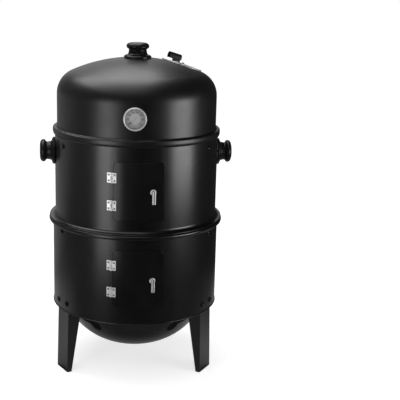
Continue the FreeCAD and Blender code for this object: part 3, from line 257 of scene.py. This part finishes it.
def dark_zinc():
    """Black passivated fasteners."""
    paint = Paint("dark_fasteners", Metallic=0.62)
    paint.colours(paint.noise(200, 3), (0.3, 0.008), (0.7, 0.013))
    paint.roughness(paint.noise(300, 3), 0.16, 0.24)
    return paint.material


def dial_print():
    """The thermometer's printed face: a lighter middle inside a satin grey ring."""
    paint = Paint("dial_face")
    paint.colours(
        from_dial_axis(paint, "thermometer_dial"),
        (0.0, 0.29), (0.5, 0.27), (0.6, 0.2), (0.86, 0.2), (0.93, 0.24), (1.0, 0.2),
    )
    paint.roughness(paint.noise(500, 3), 0.4, 0.5)
    return paint.material


def dial_glass():
    """A clear flat window."""
    paint = Paint("dial_lens", Base_Color=WHITE, Alpha=0.04, IOR=1.5)
    paint.roughness(paint.noise(80, 2), 0.03, 0.08)
    return paint.material


def matt_paint(name, colour):
    """Ink or enamel on small printed pieces, a little uneven."""
    paint = Paint(name)
    darker = tuple(0.8 * part for part in colour)
    paint.colours(paint.noise(900, 3), (0.3, darker), (0.7, colour))
    paint.roughness(paint.noise(900, 3), 0.45, 0.6)
    return paint.material


MATERIALS = {
    "satin_black_paint": satin_paint("satin_black_paint", 0.27, 0.31),
    "black_enamel": black_enamel(),
    "black_plastic": black_plastic(),
    "bright_steel": plated_steel("bright_steel", 0.95, 0.3, 0.4, scatter=0.25),
    "nickel_plate": plated_steel("nickel_plate", 0.72, 0.2, 0.3),
    "dark_fasteners": dark_zinc(),
    "zinc_steel": plated_steel("zinc_steel", 0.6, 0.32, 0.45),
    "dial_face": dial_print(),
    "dial_lens": dial_glass(),
    "pointer_paint": matt_paint("pointer_paint", (0.2, 0.008, 0.004)),
}


# Finishes of nodes and pieces that differ a little from the rest of their slot
DOOR_PAINT = satin_paint("door_paint", 0.2, 0.23, grey=0.004, specular=0.38, bent=(-0.25, 0.19))
LEG_PAINT = satin_paint("leg_paint", 0.3, 0.36, grey=0.005)
RIVET_PLATE = plated_steel("rivet_plate", 0.3, 0.3, 0.42)
FOOD_LEAF_PLATE = plated_steel("food_leaf_plate", 0.62, 0.3, 0.4, scatter=0.25)
FIRE_LEAF_PLATE = plated_steel("fire_leaf_plate", 0.9, 0.3, 0.4, scatter=0.3)
DAMPER_PLATE = plated_steel("damper_plate", 0.62, 0.4, 0.5, scatter=0.5)
GRIP_PAINT = satin_paint("grip_paint", 0.4, 0.5, grey=0.008, specular=0.25)
# The lever's ridges are light plated steel; its plate is a dark copy of that steel, painted shade in the
# groove between the ridges
LEVER_RIDGES = plated_steel("lever_ridges", 0.9, 0.38, 0.46, scatter=0.3)
LEVER_PLATE_SHADE = plated_steel("lever_plate_painted_shade", 0.3, 0.38, 0.46, scatter=0.3)
FINISHES = {
    "lid": satin_paint("lid_paint", 0.34, 0.4),
    "food_door": DOOR_PAINT, "fire_door": DOOR_PAINT,
    "leg_front_right": LEG_PAINT, "leg_front_left": LEG_PAINT, "leg_rear": LEG_PAINT,
    "food_hinge_rivets": RIVET_PLATE, "fire_hinge_rivets": RIVET_PLATE,
    "food_door_rivets": RIVET_PLATE, "fire_door_rivets": RIVET_PLATE,
    "food_door_upper_leaf": FOOD_LEAF_PLATE, "food_door_lower_leaf": FOOD_LEAF_PLATE,
    "fire_door_upper_leaf": FIRE_LEAF_PLATE, "fire_door_lower_leaf": FIRE_LEAF_PLATE,
    "damper_disc": DAMPER_PLATE, "damper_grip": GRIP_PAINT,
    "thermometer_case": brushed_bezel(),
}


def finish_cad_nodes():
    """Give every CAD node its own finish, or else the material of its slot."""
    for entry in frame["record"]["subparts"]:
        node = frame["nodes"][entry["node"]]
        node.data.materials.clear()
        node.data.materials.append(FINISHES.get(entry["node"], MATERIALS[entry["material_slot"]]))


# ---------------------------------------------------------------------------------------------------
# Studio
# ---------------------------------------------------------------------------------------------------
class Nodes:
    """Shorthand for building the plain shader trees of the floor and the world."""

    def __init__(self, tree):
        self.tree = tree
        tree.nodes.clear()

    def add(self, kind, **settings):
        return new_node(self.tree, kind, **settings)

    def ramp(self, value, start, end, low, high):
        """Pass smoothly from low to high while the value goes from start to end."""
        node = self.add("ShaderNodeMapRange", interpolation_type="SMOOTHSTEP")
        settings = {"From Min": start, "From Max": end, "To Min": low, "To Max": high}
        for name, setting in settings.items():
            node.inputs[name].default_value = setting
        self.tree.links.new(value, node.inputs["Value"])
        return node.outputs["Result"]

    def math(self, operation, first, second):
        node = self.add("ShaderNodeMath", operation=operation)
        for socket, value in zip(node.inputs, (first, second)):
            if isinstance(value, (int, float)):
                socket.default_value = value
            else:
                self.tree.links.new(value, socket)
        return node.outputs["Value"]

    def split(self, vector):
        """The X and the Y part of a vector."""
        parts = self.add("ShaderNodeSeparateXYZ")
        self.tree.links.new(vector, parts.inputs["Vector"])
        return parts.outputs["X"], parts.outputs["Y"]

    def length(self, vector):
        node = self.add("ShaderNodeVectorMath", operation="LENGTH")
        self.tree.links.new(vector, node.inputs[0])
        return node.outputs["Value"]

    def mix(self, factor, first, second):
        node = self.add("ShaderNodeMixShader")
        self.tree.links.new(factor, node.inputs["Fac"])
        self.tree.links.new(first, node.inputs[1])
        self.tree.links.new(second, node.inputs[2])
        return node.outputs["Shader"]


# Half the floor's side and the place of a front foot, in metres
FLOOR_HALF = 12
FRONT_FOOT = (0.158, -0.086, 0)
# The floor's own brightness near the smoker and far from it
FLOOR_NEAR = 0.68
FLOOR_FAR = 0.82
# What reflections see where nothing is lit
DIM_ROOM = 0.01


def floor_in_reflections(nodes, place):
    """How bright reflections see the floor: a pool of light round the smoker in a dim room.

    The pool fades in front of the smoker, under its bowl and to its right, and is nearly dark round the
    two front feet; the floor behind the smoker and far to its left is lit a little.
    """
    link = nodes.tree.links.new
    across, depth = nodes.split(place)
    stretched = nodes.add("ShaderNodeMapping")
    stretched.inputs["Location"].default_value = (0, -0.12, 0)
    stretched.inputs["Scale"].default_value = (0.75, 1, 1)
    link(place, stretched.inputs["Vector"])
    oval = nodes.length(stretched.outputs["Vector"])
    pool = nodes.math("MULTIPLY", nodes.ramp(oval, 0.42, 0.75, 0.4, 0.0),
                      nodes.ramp(depth, -0.16, -0.02, 0.32, 1.0))
    pool = nodes.math("MULTIPLY", pool, nodes.ramp(nodes.length(place), 0.12, 0.22, 0.48, 1.0))
    pool = nodes.math("MULTIPLY", pool, nodes.ramp(across, 0.3, 0.55, 1.0, 0.3))
    folded = nodes.add("ShaderNodeCombineXYZ")
    link(nodes.math("ABSOLUTE", across, 0), folded.inputs["X"])
    link(depth, folded.inputs["Y"])
    foot = nodes.add("ShaderNodeVectorMath", operation="DISTANCE")
    foot.inputs[1].default_value = FRONT_FOOT
    link(folded.outputs["Vector"], foot.inputs[0])
    pool = nodes.math("MULTIPLY", pool, nodes.ramp(foot.outputs["Value"], 0.025, 0.037, 0.03, 1.0))
    rear = nodes.math("MULTIPLY", nodes.ramp(depth, 0.1, 0.8, 0.0, 1.0),
                      nodes.ramp(across, -0.3, 0.5, 0.3, 0.02))
    left = nodes.math("MAXIMUM", nodes.ramp(across, -0.3, -0.7, 0.0, 0.09),
                      nodes.ramp(across, -1.0, -2.0, 0.0, 0.15))
    around = nodes.math("MAXIMUM", rear, left)
    return nodes.math("MAXIMUM", nodes.math("MAXIMUM", pool, DIM_ROOM), around)


def add_floor():
    """A plain white floor that keeps the smoker's shadow; reflections see it differently lit."""
    mesh = bpy.data.meshes.new("floor")
    corners = [(-FLOOR_HALF, -FLOOR_HALF, 0), (FLOOR_HALF, -FLOOR_HALF, 0),
               (FLOOR_HALF, FLOOR_HALF, 0), (-FLOOR_HALF, FLOOR_HALF, 0)]
    mesh.from_pydata(corners, [], [(0, 1, 2, 3)])
    floor = bpy.data.objects.new("floor", mesh)
    scene.collection.objects.link(floor)
    material = bpy.data.materials.new("floor")
    material.use_nodes = True
    nodes = Nodes(material.node_tree)
    link = nodes.tree.links.new
    place = nodes.add("ShaderNodeTexCoord").outputs["Object"]
    paper = nodes.add("ShaderNodeBsdfDiffuse", Color=(0.6, 0.6, 0.6, 1))
    own_light = nodes.add("ShaderNodeEmission")
    link(nodes.ramp(nodes.length(place), 0.3, 2.5, FLOOR_NEAR, FLOOR_FAR), own_light.inputs["Strength"])
    lit = nodes.add("ShaderNodeAddShader")
    link(paper.outputs["BSDF"], lit.inputs[0])
    link(own_light.outputs["Emission"], lit.inputs[1])
    mirrored = nodes.add("ShaderNodeEmission")
    link(floor_in_reflections(nodes, place), mirrored.inputs["Strength"])
    path = nodes.add("ShaderNodeLightPath")
    surface = nodes.mix(path.outputs["Is Glossy Ray"], lit.outputs["Shader"], mirrored.outputs["Emission"])
    link(surface, nodes.add("ShaderNodeOutputMaterial").inputs["Surface"])
    mesh.materials.append(material)


# The world's even light on the smoker and the floor
FILL = 0.36


def add_world():
    """White to the camera, an even fill, and for reflections a pale backdrop behind a dark room."""
    world = bpy.data.worlds.new("studio")
    world.use_nodes = True
    nodes = Nodes(world.node_tree)
    link = nodes.tree.links.new
    sideways, depth = nodes.split(nodes.add("ShaderNodeTexCoord").outputs["Generated"])
    backdrop = nodes.math("MULTIPLY", nodes.ramp(depth, 0.6, 0.9, 0.0, 0.62),
                          nodes.ramp(sideways, 0.0, 0.22, 1.0, 0.05))
    backdrop = nodes.math("MULTIPLY", backdrop, nodes.ramp(sideways, -0.45, -0.15, 0.35, 1.0))
    left_wall = nodes.math("MULTIPLY", nodes.ramp(sideways, -0.35, -0.75, 0.0, 0.13),
                           nodes.ramp(depth, -0.4, 0.1, 0.0, 1.0))
    walls = nodes.math("MAXIMUM", backdrop, left_wall)
    reflected = nodes.add("ShaderNodeBackground", Color=WHITE)
    link(nodes.math("MAXIMUM", walls, DIM_ROOM), reflected.inputs["Strength"])
    even = nodes.add("ShaderNodeBackground", Color=WHITE, Strength=FILL)
    white = nodes.add("ShaderNodeBackground", Color=WHITE)
    path = nodes.add("ShaderNodeLightPath")
    unseen = nodes.mix(path.outputs["Is Glossy Ray"],
                       even.outputs["Background"], reflected.outputs["Background"])
    seen = nodes.mix(path.outputs["Is Camera Ray"], unseen, white.outputs["Background"])
    link(seen, nodes.add("ShaderNodeOutputWorld").inputs["Surface"])
    scene.world = world


def add_softbox(name, azimuth, distance, size, glow, base=0.0):
    """A softbox that stands on edge and faces the smoker's axis.

    Its azimuth is counted from the camera's side, its distance from the axis, its base from the floor,
    and its glow is the brightness that a mirror would show.
    """
    turn = math.radians(azimuth)
    width, height = size
    data = bpy.data.lights.new(name, "AREA")
    data.shape = "RECTANGLE"
    data.size, data.size_y = size
    data.energy = 4 * width * height * glow
    lamp = bpy.data.objects.new(name, data)
    scene.collection.objects.link(lamp)
    lamp.location = (math.sin(turn) * distance, -math.cos(turn) * distance, base + height / 2)
    lamp.rotation_euler = (math.radians(90), 0, turn)
    lamp.visible_camera = False
    return lamp


# The panels that hang level over the smoker, in metres: name, near edge, far edge and glow
OVERHEAD_HEIGHT = 1.9
OVERHEAD_LEFT = -1.45
OVERHEAD_RIGHT = 0.3
OVERHEAD = (
    ("overhead", -0.145, 1.205, 2.3),
    ("overhead_feather", -0.6, -0.145, 1.15),
    ("overhead_fade", -1.2, -0.6, 0.55),
    ("overhead_end", -1.8, -1.2, 0.25),
)


def light_studio():
    """Two softboxes at the left, one above the other, one at the right and panels overhead."""
    add_softbox("left_softbox", -38, 0.98, (0.36, 0.42), 1.95, base=0.25)
    add_softbox("left_softbox_foot", -38, 0.98, (0.36, 0.19), 1.55, base=0.06)
    add_softbox("right_softbox", 63, 1.4, (0.75, 0.62), 3.5, base=0.19)
    for name, near, far, glow in OVERHEAD:
        lamp = add_softbox(name, 0, 0, (OVERHEAD_RIGHT - OVERHEAD_LEFT, far - near), glow)
        lamp.location = ((OVERHEAD_LEFT + OVERHEAD_RIGHT) / 2, (near + far) / 2, OVERHEAD_HEIGHT)
        lamp.rotation_euler = (0, 0, 0)


# ---------------------------------------------------------------------------------------------------
# Detailed pieces
# ---------------------------------------------------------------------------------------------------
def link_mesh(name, mesh, body, slot, material=None):
    """A piece that rides on a body, in the material of its slot or in one of its own."""
    piece = bpy.data.objects.new(name, mesh)
    scene.collection.objects.link(piece)
    mesh.materials.clear()
    mesh.materials.append(material or MATERIALS[slot])
    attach(piece, body)
    return piece


def text_mesh(name, words, height, depth, weight):
    """A flat number as a mesh standing in the XZ plane, facing -Y; the weight thickens its strokes."""
    curve = bpy.data.curves.new(name, "FONT")
    curve.body = words
    curve.size = height
    curve.extrude = depth
    curve.offset = weight
    curve.align_x = "CENTER"
    curve.align_y = "CENTER"
    holder = bpy.data.objects.new(name, curve)
    scene.collection.objects.link(holder)
    bpy.context.view_layer.update()
    mesh = bpy.data.meshes.new_from_object(holder)
    bpy.data.objects.remove(holder)
    mesh.transform(Matrix.Rotation(math.radians(90), 4, "X"))
    return mesh


def tube_mesh(name, points, radius, closed=False):
    """A round bar of the given radius through the points."""
    curve = bpy.data.curves.new(name, "CURVE")
    curve.dimensions = "3D"
    curve.bevel_depth = radius
    curve.bevel_resolution = 5
    curve.use_fill_caps = True
    spline = curve.splines.new("POLY")
    spline.points.add(len(points) - 1)
    for knot, point in zip(spline.points, points):
        knot.co = (*point, 1)
    spline.use_cyclic_u = closed
    holder = bpy.data.objects.new(name, curve)
    scene.collection.objects.link(holder)
    bpy.context.view_layer.update()
    mesh = bpy.data.meshes.new_from_object(holder)
    bpy.data.objects.remove(holder)
    return mesh


def arc(centre, radius, start, end, steps):
    """Points on an arc in a plane, between two angles in degrees."""
    across, up = centre
    angles = [math.radians(start + (end - start) * step / steps) for step in range(steps + 1)]
    return [(across + radius * math.cos(angle), up + radius * math.sin(angle)) for angle in angles]


def slab_mesh(name, outline, back, front):
    """A flat plate with the given outline in XZ, between two depths; the front faces -Y."""
    slab = bmesh.new()
    rims = [[slab.verts.new((across, depth, up)) for across, up in outline] for depth in (back, front)]
    slab.faces.new(rims[0])
    slab.faces.new(rims[1][::-1])
    for index in range(len(outline)):
        following = (index + 1) % len(outline)
        slab.faces.new((rims[0][following], rims[0][index], rims[1][index], rims[1][following]))
    bmesh.ops.recalc_face_normals(slab, faces=slab.faces)
    mesh = bpy.data.meshes.new(name)
    slab.to_mesh(mesh)
    slab.free()
    return mesh


def softened(piece, width, segments=2):
    """Round the piece's edges and shade it smoothly between them."""
    bevel = piece.modifiers.new("edges", "BEVEL")
    bevel.width = width
    bevel.segments = segments
    bevel.limit_method = "ANGLE"
    bevel.angle_limit = math.radians(40)
    piece.data.shade_smooth()
    piece.data.set_sharp_from_angle(angle=math.radians(50))


def facing_out(joint_name):
    """The placement at a radial joint, in metres, whose -Y leaves the smoker along the joint's axis."""
    joint = next(j for j in frame["record"]["behaviour"]["joints"] if j["name"] == joint_name)
    outward = Vector(joint["axis"])
    if outward.dot(Vector(joint["pos_m"])) < 0:
        outward.negate()
    sideways, up = Vector((-outward.y, outward.x, 0)), Vector((0, 0, 1))
    turn = Matrix((sideways, -outward, up)).transposed().to_4x4()
    return Matrix.Translation(joint["pos_m"]) @ turn


# Millimetres, seen from the front of the lever: X to the right, Z up, the outside at negative Y
LEVER_BOSS = 7
LEVER_REACH = 29
LEVER_SHIFT = 1.8
LEVER_WIDTH = 8
LEVER_BACK = -0.7
LEVER_FRONT = -5.3
LEVER_PLATE = -2.6
LEVER_RIDGE = 1.35
LEVER_MARGIN = 0.1
LEVER_CORNER = 2
LEVER_BAR_TOP = 2.2
LEVER_HOOK_START = 215
LEVER_SHAFT = 3
LEVER_SHAFT_END = 13.6


def add_latch_lever(door):
    """A pressed lever: a keyhole plate with two half-round ridges, one of which hooks over its head; the
    plate is painted dark, as painted shade in the groove between the ridges.
    """
    stand = facing_out(door + "_latch_turn") @ Matrix.Scale(MM, 4)
    left, right = LEVER_SHIFT - LEVER_WIDTH / 2, LEVER_SHIFT + LEVER_WIDTH / 2
    right_start = math.degrees(math.asin(-math.sqrt(LEVER_BOSS ** 2 - right ** 2) / LEVER_BOSS))
    left_end = 180 + math.degrees(math.asin(math.sqrt(LEVER_BOSS ** 2 - left ** 2) / LEVER_BOSS))
    outline = arc((0, 0), LEVER_BOSS, right_start, left_end, 40)
    corner_level = -LEVER_REACH + LEVER_CORNER
    outline += arc((left + LEVER_CORNER, corner_level), LEVER_CORNER, 180, 270, 6)
    outline += arc((right - LEVER_CORNER, corner_level), LEVER_CORNER, 270, 360, 6)
    plate = slab_mesh(door + "_lever_plate", outline, LEVER_BACK, LEVER_PLATE)
    hook_radius = LEVER_BOSS - LEVER_RIDGE
    spread = LEVER_WIDTH / 2 - LEVER_RIDGE - LEVER_MARGIN
    hook_side, bar_side = LEVER_SHIFT + spread, LEVER_SHIFT - spread
    hook_end = math.degrees(math.acos(hook_side / hook_radius))
    foot = -LEVER_REACH + LEVER_RIDGE
    hook = arc((0, 0), hook_radius, LEVER_HOOK_START, hook_end, 30) + [(hook_side, foot)]
    bar = [(bar_side, LEVER_BAR_TOP), (bar_side, foot)]
    level = LEVER_FRONT + LEVER_RIDGE
    shaft = [(0, LEVER_BACK, 0), (0, LEVER_SHAFT_END, 0)]
    meshes = {
        "plate": plate,
        "hook": tube_mesh(door + "_lever_hook", [(x, level, z) for x, z in hook], LEVER_RIDGE),
        "ridge": tube_mesh(door + "_lever_ridge", [(x, level, z) for x, z in bar], LEVER_RIDGE),
        "shaft": tube_mesh(door + "_lever_shaft", shaft, LEVER_SHAFT),
    }
    for part, mesh in meshes.items():
        mesh.transform(stand)
        # The plate gets the dark copy: painted shade between the ridges
        finish = LEVER_PLATE_SHADE if part == "plate" else LEVER_RIDGES
        piece = link_mesh("%s_lever_%s" % (door, part), mesh, door + "_latch", "nickel_plate", finish)
        softened(piece, 0.4 * MM)
        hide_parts(door + "_latch_lever")


HEM_RADIUS = 200.2 * MM
HEM_SIZE = 1.3 * MM


def add_hem():
    """The rolled lower edge of the fire chamber's wall."""
    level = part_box("fire_chamber")[0].z + HEM_SIZE
    circle = [(*point, level) for point in arc((0, 0), HEM_RADIUS, 0, 358, 179)]
    mesh = tube_mesh("fire_chamber_hem", circle, HEM_SIZE, closed=True)
    piece = link_mesh("fire_chamber_hem", mesh, "base", "satin_black_paint")
    piece.data.shade_smooth()


# Degrees, counted from the right against the clock, and millimetres
DIAL_START = 221
DIAL_SWEEP = 262
DIAL_NUMBERS = ("0", "50", "100", "150", "200", "250", "300", "350")
DIAL_DIVISIONS = 35
DIAL_THICKNESS = 0.8
PRINT_LIFT = 0.02
NUMBER_RADIUS = 15.4
NUMBER_HEIGHT = 4.8
NUMBER_DEPTH = 0.01
NUMBER_WEIGHT = 0.12
# Inner radius, outer radius and half width of a division
LONG_MARK = (18.4, 21.4, 0.55)
SHORT_MARK = (19.6, 21.2, 0.2)


def add_dial_marks():
    """Divisions and numbers printed on the thermometer's dial."""
    stand = facing_out("pointer_turn")
    low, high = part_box("thermometer_dial")
    front = (stand.inverted() @ ((low + high) / 2)).y - DIAL_THICKNESS * MM / 2
    ink = matt_paint("print_ink", (0.012, 0.012, 0.012))
    steps_to_number = DIAL_DIVISIONS // (len(DIAL_NUMBERS) - 1)
    marks = bmesh.new()
    for step in range(DIAL_DIVISIONS + 1):
        angle = math.radians(DIAL_START - DIAL_SWEEP * step / DIAL_DIVISIONS)
        inner, outer, half = SHORT_MARK if step % steps_to_number else LONG_MARK
        along = Vector((math.cos(angle), 0, math.sin(angle)))
        across = Vector((-along.z, 0, along.x)) * half * MM
        corners = [along * inner * MM - across, along * outer * MM - across,
                   along * outer * MM + across, along * inner * MM + across]
        marks.faces.new([marks.verts.new(corner) for corner in corners])
    mesh = bpy.data.meshes.new("dial_divisions")
    marks.to_mesh(mesh)
    marks.free()
    printed = stand @ Matrix.Translation((0, front - PRINT_LIFT * MM, 0))
    mesh.transform(printed)
    link_mesh("dial_divisions", mesh, "lid_body", "dial_face", ink)
    for index, words in enumerate(DIAL_NUMBERS):
        angle = math.radians(DIAL_START - DIAL_SWEEP * index / (len(DIAL_NUMBERS) - 1))
        mesh = text_mesh("dial_number", words, NUMBER_HEIGHT * MM, NUMBER_DEPTH * MM, NUMBER_WEIGHT * MM)
        radius = NUMBER_RADIUS * MM
        mesh.transform(Matrix.Translation((radius * math.cos(angle), 0, radius * math.sin(angle))))
        mesh.transform(printed)
        link_mesh("dial_number_%s" % words, mesh, "lid_body", "dial_face", ink)


# Millimetres along the dial's axis, the outside at negative values
POINTER_FRONT = -6
POINTER_BACK = -5.4
HUB_FRONT = -6.2


def add_pointer():
    """The thermometer's pointer: a slim arm with a counterweight, a broad red blade and a dark tip."""
    stand = facing_out("pointer_turn") @ Matrix.Scale(MM, 4)
    turn = Matrix.Rotation(math.radians(-DIAL_START), 4, "Y")
    pale = matt_paint("pointer_arm", (0.26, 0.26, 0.26))
    dark = matt_paint("pointer_tip", (0.02, 0.02, 0.02))
    blade = [(10.6, -1), (12, -2.4), (15.4, -2.5), (16.6, -1.4),
             (16.6, 1.4), (15.4, 2.5), (12, 2.4), (10.6, 1)]
    outlines = {
        "arm": ([(-6, -0.9), (12, -0.6), (12, 0.6), (-6, 0.9)], pale),
        "hub": (arc((0, 0), 2.2, 0, 350, 35), pale),
        "blade": (blade, None),
        "tip": ([(16.4, -1.2), (19.4, -0.7), (20, 0), (19.4, 0.7), (16.4, 1.2)], dark),
    }
    for part, (outline, material) in outlines.items():
        front = HUB_FRONT if part == "hub" else POINTER_FRONT
        mesh = slab_mesh("pointer_" + part, outline, POINTER_BACK, front)
        mesh.transform(stand @ turn)
        piece = link_mesh("pointer_" + part, mesh, "pointer", "pointer_paint", material)
        softened(piece, 0.1 * MM, 1)
        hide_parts("thermometer_pointer")


add_camera()
add_floor()
add_world()
light_studio()
finish_cad_nodes()
add_dial_marks()
add_pointer()
add_latch_lever("food")
add_latch_lever("fire")
add_hem()
